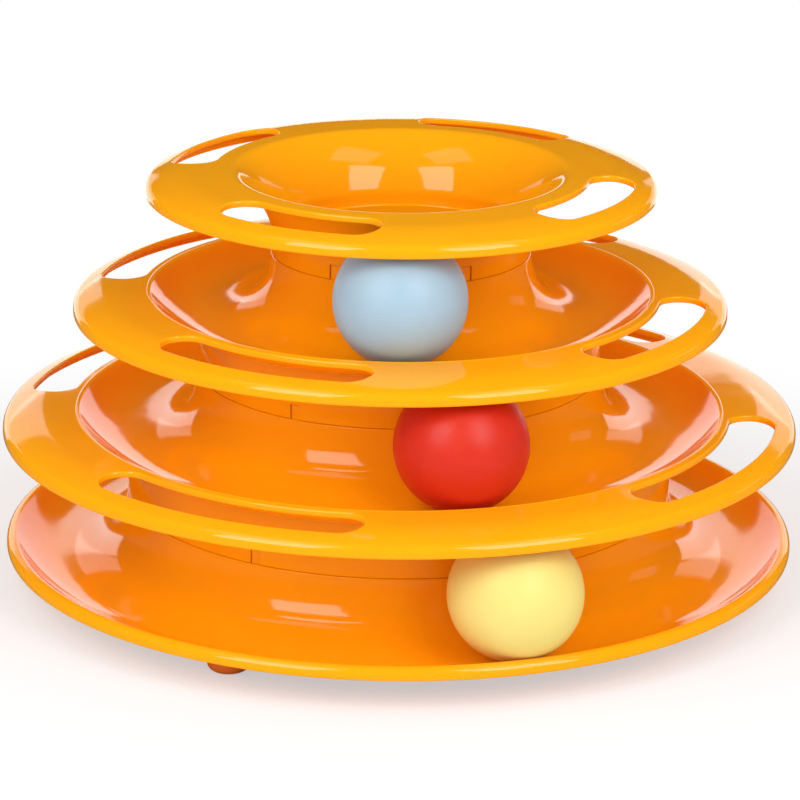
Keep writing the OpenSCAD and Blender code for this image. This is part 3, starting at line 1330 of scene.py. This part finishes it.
    def painted_shade_share(self, radius: np.ndarray, height: np.ndarray) -> np.ndarray:
        """Share of painted shade, the track's redder colour: most on the outer side, least on the
        floor.

        Args:
            radius: radius of each point.
            height: height of each point, not used.

        Returns:
            The share at each point.
        """
        crease, floor = self.crown().crease[0], self.plan.floor_radius(self.level)
        inside = np.clip((crease + self.painted_shade_edge - radius) / self.painted_shade_fade, 0, 1)
        outer = np.clip((radius - floor) / (self.painted_shade_full * (crease - floor)), 0, 1)
        neck = self.neck_painted_shade * np.clip((floor - radius) / self.neck_painted_shade_fade, 0, 1)
        return inside * (self.painted_shade_floor + (1 - self.painted_shade_floor) * np.maximum(outer, neck))

    def fill(self, shell: Shell) -> None:
        """Adds the whole moulding with its keys, and the base tray's bosses.

        Args:
            shell: where the faces are added.
        """
        if self.level is Level.BASE:
            line = self.belly(self.lip(self.bed()))
            shell.turn(line.drawn(), self.plan.angles())
            self.add_bosses(shell)
        else:
            super().fill(shell)
        self.add_keys(shell)

    def add_bosses(self, shell: Shell) -> None:
        """Adds the bosses that hold the feet under the base tray.

        Args:
            shell: where they are added.
        """
        p = self.plan
        top = p.floor_height(self.level) - self.boss_sink * p.wall
        line = Outline().to(0, self.boss_height)
        line.to(self.boss_radius, self.boss_height, p.soft.boss)
        line.to(self.boss_radius, top - self.boss_flare_height)
        line.to(self.boss_radius + self.boss_flare, top).to(0, top)
        for angle in p.foot_angles:
            shell.turn(line.drawn(), around(40), centre=from_axis(p.foot_radius, angle, 0)[:2])

    def add_keys(self, shell: Shell) -> None:
        """Adds the keys that stand on the shoulder against the spigot.

        Args:
            shell: where they are added.
        """
        p = self.plan
        half, soft = p.key_width / 2, p.soft.key
        seam, neck = p.seam_height(self.level), p.neck(self.level)
        out, back = neck - p.key_inset, neck - p.wall - p.fit_gap - p.wall / 2
        low, high = seam - p.wall / 2, seam + p.key_height
        corners = [(-half, back), (-half, out - soft), (-half + soft, out)]
        corners += [(-x, r) for x, r in reversed(corners)]
        rings = np.array(
            [
                [
                    (math.copysign(min(abs(x), half - inset), x), -min(r, out - inset), z)
                    for x, r in corners
                ]
                for z, inset in ((low, 0.0), (high - soft, 0.0), (high, soft))
            ]
        )
        for angle in np.radians(p.key_angle + around(p.key_count)):
            turned = rings @ np.array(Matrix.Rotation(angle, 3, "Z")).T
            shell.add_grid(turned)
            shell.add_face(turned[-1])


@dataclass
class TopMoulding(Moulding):
    """Slotted flange round the open bowl at the top of the tower.

    Fields:
        bowl_depth: depth of the bowl, from its crease to the outer knee of its wall.
        bowl_gap: gap between the bowl's wall and the blue ball.
        wall_crown: how far the middle of the bowl's wall is crowned towards the axis.
        wall_steps: segments of the bowl's wall.
        seat_start: how far below the bowl's seat the section starts and ends.
        painted_shade_edge: distance beyond the crease at which the painted shade, the track's
            redder colour, starts.
        painted_shade_fade: width over which it starts.
        painted_shade_top: share of it at the top of the bowl.
        painted_shade_growth: how much it grows down to the knee.
    """

    bowl_depth: float = 18 * MM
    bowl_gap: float = 0.6 * MM
    wall_crown: float = 2.2 * MM
    wall_steps: int = 16
    seat_start: float = 2.5 * MM
    # Painted shade: the bowl is coloured redder further down, where shade falls.
    painted_shade_edge: float = 0.2 * MM
    painted_shade_fade: float = 3 * MM
    painted_shade_top: float = 0.1
    painted_shade_growth: float = 0.5

    def knee(self) -> Point:
        """Outer knee between the skirt and the bowl's wall."""
        p = self.plan
        return p.neck(self.below()), p.crease_height(self.level) - self.bowl_depth

    def slope(self) -> float:
        """Slope of the bowl's wall, as steep as the ball beside it asks.

        Returns:
            The slope in degrees.
        """
        p, knee = self.plan, self.knee()
        ball = (p.floor_radius(self.below()), p.ball_centre(self.below(), 0)[2])
        gap = (ball[0] - knee[0], ball[1] - knee[1])
        clear = math.asin((p.ball_radius + self.bowl_gap) / math.hypot(*gap))
        return math.degrees(math.atan2(gap[1], gap[0]) + clear)

    def inner_knee(self) -> Point:
        """Point of the wall's inner side that faces the knee."""
        s, knee, wall = math.radians(self.slope()), self.knee(), self.plan.wall
        return knee[0] - wall * math.sin(s), knee[1] + wall * math.cos(s)

    def crown(self) -> Crown:
        """Crown between the bowl's crease and the lip.

        Returns:
            The crown.
        """
        p, start = self.plan, self.inner_knee()
        top = p.crease_height(self.level)
        radius = start[0] + (top - start[1]) / math.tan(math.radians(self.slope()))
        width = p.rim(self.level) - radius
        return Crown((radius, top), width, p.lip, p.crown_drop(width, p.lip), p.wall)

    def bed(self) -> Outline:
        """Outline of the bowl's inner side.

        Returns:
            The outline, from the skirt's inside up the wall to the crease.
        """
        p, start = self.plan, self.inner_knee()
        inside, crease = p.neck(self.below()) - p.wall, self.crown().crease
        seat = start[1] + (inside - start[0]) * math.tan(math.radians(self.slope()))
        line = Outline().to(inside, seat - self.seat_start).to(inside, seat, p.soft.seat)
        self.bent(line, (inside, seat), crease)
        return line.to(*crease, p.soft.bowl_crease)

    def bent(self, line: Outline, start: Point, end: Point) -> None:
        """Adds the points between two ends of the wall, which is crowned towards the axis.

        Args:
            line: outline to add to.
            start: one end, which is not added.
            end: the other end, which is not added.
        """
        s = math.radians(self.slope())
        for i in range(1, self.wall_steps):
            t = i / self.wall_steps
            crown = self.wall_crown * 4 * t * (1 - t)
            line.to(
                start[0] + (end[0] - start[0]) * t - crown * math.sin(s),
                start[1] + (end[1] - start[1]) * t + crown * math.cos(s),
            )

    def belly(self, line: Outline) -> Outline:
        """Adds the underside from below the crease down the wall and the skirt.

        Args:
            line: outline that ends on the flange's underside.

        Returns:
            The outline.
        """
        p, knee = self.plan, self.knee()
        mark = self.crown().under_crease(self.slope())
        line.to(*mark, p.soft.under_bowl_crease)
        self.bent(line, mark, knee)
        return self.skirt(line.to(*knee, p.soft.knee)).to(*self.bed().points[0])

    def painted_shade_share(self, radius: np.ndarray, height: np.ndarray) -> np.ndarray:
        """Share of painted shade, the track's redder colour, which grows down the bowl.

        Args:
            radius: radius of each point.
            height: height of each point.

        Returns:
            The share at each point.
        """
        crease = self.crown().crease
        inside = np.clip((crease[0] + self.painted_shade_edge - radius) / self.painted_shade_fade, 0, 1)
        down = np.clip((crease[1] - height) / self.bowl_depth, 0, 1)
        return inside * (self.painted_shade_top + self.painted_shade_growth * down)


@dataclass
class HollowBall:
    """Hollow ball of two half shells, welded at its middle.

    Fields:
        name: name of the piece.
        level: level of its track.
        angle: where it lies on the track.
        plan: sizes that the pieces share.
        rows: rings of points from pole to pole.
        columns: points round the ball.
        weld_depth: depth of the fine line at the weld.
        weld_width: width of that line.
        weld_rows: rings across that line.
        weld_reach: how far they reach from the middle, in widths of the line.
        weld_clear: how far the other rings keep away, in widths of the line.
        gate_radius: radius of the mark where each half was filled.
        gate_flat: share of that radius that is sunk.
        gate_depth: how deep it is sunk.
    """

    name: str
    level: Level
    angle: float
    plan: TowerPlan
    rows: int = 91
    columns: int = 160
    weld_depth: float = 0.03 * MM
    weld_width: float = 0.5 * MM
    weld_rows: int = 9
    weld_reach: float = 1.2
    weld_clear: float = 1.5
    gate_radius: float = 0.8 * MM
    gate_flat: float = 0.8
    gate_depth: float = 0.06 * MM

    def build(self) -> bpy.types.Object:
        """Builds the ball.

        Returns:
            The new object.
        """
        r, (x, y, z) = self.plan.ball_radius, self.plan.ball_centre(self.level, self.angle)
        weld, gate = math.degrees(self.weld_width / r), math.degrees(self.gate_radius / r)
        tilts = np.linspace(-90, 90, self.rows)
        tilts = tilts[np.abs(tilts) > self.weld_clear * weld]
        seam = weld * np.linspace(-self.weld_reach, self.weld_reach, self.weld_rows)
        marks = [side * (90 - share * gate) for side in (-1, 1) for share in (1, self.gate_flat)]
        line = Outline()
        for tilt in np.sort(np.concatenate([tilts, seam, marks])):
            dip = self.weld_depth * math.exp(-((tilt / (weld / 2)) ** 2))
            if 90 - abs(tilt) < (1 + self.gate_flat) / 2 * gate:
                dip += self.gate_depth
            a = math.radians(tilt)
            line.to((r - dip) * math.cos(a), z + (r - dip) * math.sin(a))
        outline = line.drawn()
        outline[0, 0] = outline[-1, 0] = 0.0
        shell = Shell()
        shell.turn(outline, around(self.columns), centre=(x, y))
        return shell.piece(self.name, sharp_angle=80.0)


@dataclass
class FootPad:
    """Rounded rubber foot with its peg in the tray's boss.

    Fields:
        name: name of the piece.
        angle: where it stands, round the axis.
        plan: sizes that the pieces share.
        radius: outside radius.
        flat: radius of the flat that it stands on.
        height: height of its seat.
        peg_radius: radius of the peg.
        peg_top: height of the peg's end.
        seat_soft: reach of the softening of the seat's edge.
        root_soft: reach of the softening at the peg's root.
        peg_soft: reach of the softening of the peg's end.
    """

    name: str
    angle: float
    plan: TowerPlan
    radius: float = 6.5 * MM
    flat: float = 4 * MM
    height: float = 4.9 * MM
    peg_radius: float = 2.1 * MM
    peg_top: float = 7.15 * MM
    seat_soft: float = 0.5 * MM
    root_soft: float = 0.2 * MM
    peg_soft: float = 0.3 * MM

    def build(self) -> bpy.types.Object:
        """Builds the foot.

        Returns:
            The new object.
        """
        side = self.radius - self.flat
        line = Outline().to(0, 0).to(self.flat / 2, 0)
        line.arc((self.flat, side), side, 270, 360, step=9.0)
        line.to(self.radius, self.height, self.seat_soft)
        line.to(self.peg_radius, self.height, self.root_soft)
        line.to(self.peg_radius, self.peg_top, self.peg_soft).to(0, self.peg_top)
        shell = Shell()
        centre = from_axis(self.plan.foot_radius, self.angle, 0)[:2]
        shell.turn(line.drawn(), around(56), centre=centre)
        return shell.piece(self.name)


# ---------------------------------------------------------------- studio


@dataclass(frozen=True)
class Lamp:
    """Soft panel light that faces the tower.

    Fields:
        name: its name.
        angle: where its middle stands, round the tower's axis.
        rise: degrees that its middle stands above the tower's middle.
        distance: its distance from the tower's middle.
        width: width of the panel.
        height: height of the panel.
        glow: radiance of the panel, 1 for white.
        lights_floor: whether it lights the floor too.
        target: height of the tower's middle.
    """

    name: str
    angle: float
    rise: float
    distance: float
    width: float
    height: float
    glow: float
    lights_floor: bool = True
    target: float = 60 * MM

    def build(self, floor: bpy.types.Object) -> None:
        """Sets the light in the scene.

        Args:
            floor: the studio's floor.
        """
        data = bpy.data.lights.new(self.name, "AREA")
        data.shape = "RECTANGLE"
        data.size, data.size_y = self.width, self.height
        data.energy = self.glow * math.pi * self.width * self.height
        made = bpy.data.objects.new(self.name, data)
        rise = math.radians(self.rise)
        way = Vector(from_axis(math.cos(rise), self.angle, math.sin(rise)))
        made.location = way * self.distance + Vector((0, 0, self.target))
        made.rotation_euler = (-way).to_track_quat("-Z", "Y").to_euler()
        made.visible_camera = False
        bpy.context.scene.collection.objects.link(made)
        if not self.lights_floor:
            unlit = bpy.data.collections.new(f"{self.name}_unlit")
            unlit.objects.link(floor)
            made.light_linking.receiver_collection = unlit
            unlit.collection_objects[0].light_linking.link_state = "EXCLUDE"


def studio_lamps() -> tuple[Lamp, ...]:
    """The lights of the studio.

    Returns:
        Boxes in front, strips over them, a faint side light, and low panels behind.
    """
    return (
        Lamp("left_box", -37.0, 34.5, 1.0, 0.47, 0.59, 4.7),
        Lamp("right_box", 37.0, 34.5, 1.0, 0.47, 0.59, 4.7),
        Lamp("left_strip", -62.0, 63.0, 1.0, 0.46, 0.30, 1.3),
        Lamp("right_strip", 62.0, 63.0, 1.0, 0.46, 0.30, 1.3),
        Lamp("side_light", 112.0, 13.0, 1.0, 0.30, 0.16, 0.5),
        Lamp("low_screen", 181.0, 3.2, 0.40, 0.78, 0.165, 1.5, lights_floor=False),
        Lamp("left_back_panel", 214.0, 16.0, 0.49, 0.22, 0.07, 0.9, lights_floor=False),
        Lamp("right_back_panel", 146.0, 16.0, 0.49, 0.22, 0.07, 0.9, lights_floor=False),
    )


@dataclass
class Studio:
    """Pale floor, white surroundings and soft lights.

    Fields:
        lamps: the lights.
        fill: strength of the light from all round.
        mirrored_fill: strength of the surroundings in reflections.
        paleness: paleness of the floor.
        mirrored_floor: paleness of the floor in reflections.
        floor_radius: radius of the floor.
        floor_sides: number of its sides.
        floor_drop: how far it lies below the feet.
        floor_white: share of plain white in what the camera sees of the floor by the toy.
        shadow_radius: radius beyond which that share grows.
        shadow_end: radius at which it is all of it.
    """

    lamps: tuple[Lamp, ...] = field(default_factory=studio_lamps)
    fill: float = 0.53
    mirrored_fill: float = 0.02
    paleness: float = 0.92
    mirrored_floor: float = 0.14
    floor_radius: float = 3.0
    floor_sides: int = 96
    floor_drop: float = 0.2 * MM
    floor_white: float = 0.5
    shadow_radius: float = 0.14
    shadow_end: float = 0.266

    def build(self) -> None:
        """Builds the world, the floor and the lights."""
        self.build_world()
        floor = self.build_floor()
        for lamp in self.lamps:
            lamp.build(floor)
        log.info("studio: %d lamps", len(self.lamps))

    def build_world(self) -> None:
        """White towards the camera, a dim room in reflections, and plain light from all round."""
        world = bpy.data.worlds.new("studio_world")
        bpy.context.scene.world = world
        n = Nodes(world)
        path = n.add("ShaderNodeLightPath").outputs
        light, room, white = (
            n.add("ShaderNodeBackground", {"Color": WHITE, "Strength": s}).outputs["Background"]
            for s in (self.fill, self.mirrored_fill, 1.0)
        )
        look = n.mix(path["Is Glossy Ray"], light, room)
        look = n.mix(path["Is Transmission Ray"], look, white)
        n.finish(n.mix(path["Is Camera Ray"], look, white))

    def build_floor(self) -> bpy.types.Object:
        """Builds the round pale floor, which keeps a soft shadow.

        Returns:
            The floor.
        """
        work = bmesh.new()
        bmesh.ops.create_circle(
            work, cap_ends=True, segments=self.floor_sides, radius=self.floor_radius
        )
        mesh = bpy.data.meshes.new("studio_floor")
        work.to_mesh(mesh)
        work.free()
        floor = bpy.data.objects.new("studio_floor", mesh)
        floor.location = (0, 0, -self.floor_drop)
        bpy.context.scene.collection.objects.link(floor)
        n = Nodes(bpy.data.materials.new("pale_floor"))
        path = n.add("ShaderNodeLightPath").outputs
        pale, dim = (
            n.add("ShaderNodeBsdfDiffuse", {"Color": (*[grey] * 3, 1.0)}).outputs["BSDF"]
            for grey in (self.paleness, self.mirrored_floor)
        )
        place = n.add("ShaderNodeTexCoord").outputs["Object"]
        away = n.add("ShaderNodeVectorMath", {0: place}, operation="LENGTH").outputs["Value"]
        inputs = {"Value": away, "From Min": self.shadow_radius, "From Max": self.shadow_end}
        inputs.update({"To Min": self.floor_white, "To Max": 1.0})
        share = n.add("ShaderNodeMapRange", inputs, interpolation_type="SMOOTHSTEP")
        inputs = {0: path["Is Camera Ray"], 1: share.outputs["Result"]}
        seen = n.add("ShaderNodeMath", inputs, operation="MULTIPLY").outputs["Value"]
        lit = n.mix(path["Is Glossy Ray"], pale, dim)
        white = n.add("ShaderNodeEmission").outputs["Emission"]
        mesh.materials.append(n.finish(n.mix(seen, lit, white)))
        return floor


@dataclass(frozen=True)
class PhotoCamera:
    """Camera at the photograph's viewing angle.

    Fields:
        distance: distance in front of the tower's axis.
        height: height above the ground.
        pitch: degrees that it looks down.
        yaw: degrees that it is turned.
        roll: degrees that it leans.
        focal: focal length in pixels of the photograph.
        sensor: width of the sensor in millimetres.
        frame: width of the photograph in pixels.
        near: nearest distance that it shows.
        far: farthest distance that it shows.
    """

    distance: float = 1.0943
    height: float = 0.4100
    pitch: float = 17.991
    yaw: float = 0.008
    roll: float = 0.491
    focal: float = 3671.3
    sensor: float = 36.0
    frame: float = 800.0
    near: float = 0.05
    far: float = 20.0

    def build(self) -> None:
        """Sets the camera in the scene."""
        data = bpy.data.cameras.new("photo_camera")
        data.sensor_width = self.sensor
        data.lens = self.focal * self.sensor / self.frame
        data.clip_start, data.clip_end = self.near, self.far
        made = bpy.data.objects.new("photo_camera", data)
        pitch, yaw, roll = (math.radians(a) for a in (self.pitch, self.yaw, self.roll))
        turn = Matrix.Rotation(-yaw, 4, "Z") @ Matrix.Rotation(math.pi / 2 - pitch, 4, "X")
        turn = turn @ Matrix.Rotation(roll, 4, "Z")
        made.matrix_world = Matrix.Translation((0, -self.distance, self.height)) @ turn
        bpy.context.scene.collection.objects.link(made)
        bpy.context.scene.camera = made


# ---------------------------------------------------------------- the whole


@dataclass
class Tower:
    """The whole toy.

    Fields:
        plan: sizes that its pieces share.
    """

    plan: TowerPlan = field(default_factory=TowerPlan)

    def build_mouldings(self) -> None:
        """Builds the tray and the three tiers."""
        finish, plan = GlossyTowerPlastic().material(), self.plan
        pieces = (
            (TrackMoulding("tray_moulding", Level.BASE, plan), "base", "base_tray"),
            (TrackMoulding("lower_moulding", Level.LOWER, plan), "lower_tier", "lower_tier"),
            (TrackMoulding("middle_moulding", Level.MIDDLE, plan), "middle_tier", "middle_tier"),
            (TopMoulding("bowl_moulding", Level.TOP, plan), "top_tier", "top_tier"),
        )
        for piece, body, node in pieces:
            dress(piece.build(), finish, body, [node])

    def build_balls(self) -> None:
        """Builds the three balls."""
        yellow = SatinBallPlastic("pale_yellow_plastic", (0.86, 0.70, 0.205), (0.84, 0.675, 0.185))
        red = SatinBallPlastic(
            "red_plastic", (0.65, 0.024, 0.007), (0.615, 0.021, 0.006), rough=(0.35, 0.46)
        )
        blue = SatinBallPlastic("pale_blue_plastic", (0.36, 0.51, 0.62), (0.345, 0.49, 0.60))
        balls = (
            ("yellow", yellow, Level.BASE, 18.7),
            ("red", red, Level.LOWER, 12.5),
            ("blue", blue, Level.MIDDLE, 0.0),
        )
        for colour, finish, level, angle in balls:
            ball = HollowBall(f"{colour}_ball", level, angle, self.plan).build()
            nodes = [f"{colour}_ball_upper", f"{colour}_ball_lower"]
            dress(ball, finish.material(), f"{colour}_ball", nodes)

    def build_feet(self) -> None:
        """Builds the four feet."""
        finish = SoftFootRubber().material()
        names = ("front_left", "front_right", "back_right", "back_left")
        for name, angle in zip(names, self.plan.foot_angles):
            foot = FootPad(f"{name}_foot", angle, self.plan).build()
            dress(foot, finish, "base", [f"foot_{name}"])


def main() -> None:
    """Loads the frame, builds the toy, the camera and the studio, and sets a plain view transform.
    """
    logging.basicConfig(level=logging.INFO, format="%(name)s: %(message)s")
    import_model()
    tower = Tower()
    tower.build_mouldings()
    tower.build_balls()
    tower.build_feet()
    PhotoCamera().build()
    Studio().build()
    bpy.context.scene.view_settings.view_transform = "Standard"


if __name__ == "__main__":
    main()
